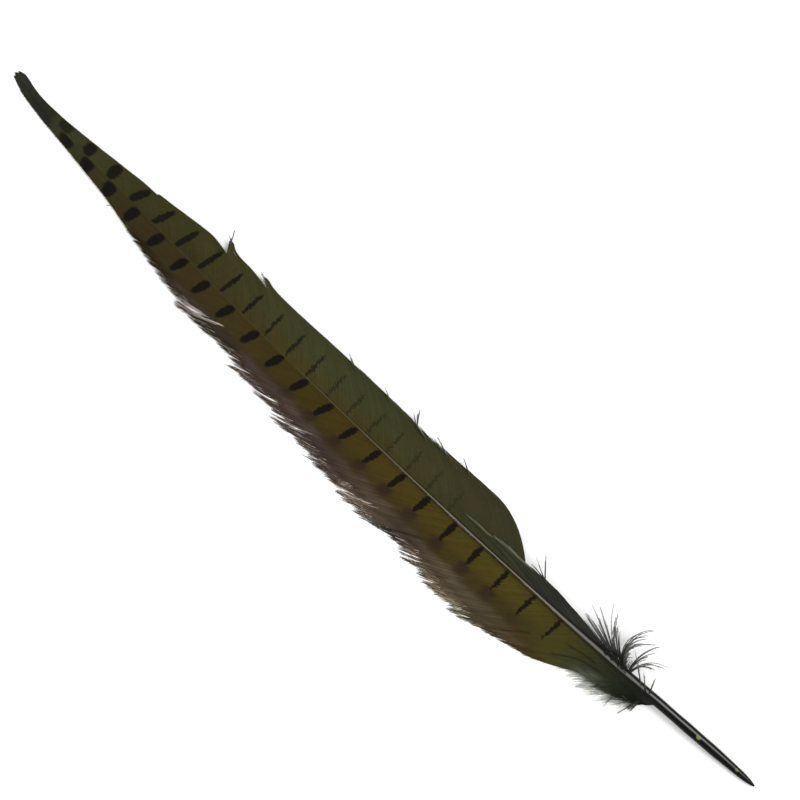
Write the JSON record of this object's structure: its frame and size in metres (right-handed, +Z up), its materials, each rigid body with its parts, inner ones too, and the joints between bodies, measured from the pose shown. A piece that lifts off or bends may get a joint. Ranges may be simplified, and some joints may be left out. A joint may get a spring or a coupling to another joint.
{
  "type": "pheasant tail feather",
  "caption": "Long tapering tail feather with a narrow smooth vane, a broad fringed vane, dark cross bars and a bare black quill, lying flat.",
  "frame": {"origin": "under the middle of the feather's bounding box, on the surface that the feather lies on", "axes": "+X along the feather from its tip to the end of the quill, +Y across it towards the narrow vane, +Z up from the surface"},
  "size_m": [0.4, 0.0492, 0.0081],
  "materials": {
    "keratin": "satin"
  },
  "bodies": {
    "root": {"feather": "keratin"}
  },
  "joints": []
}
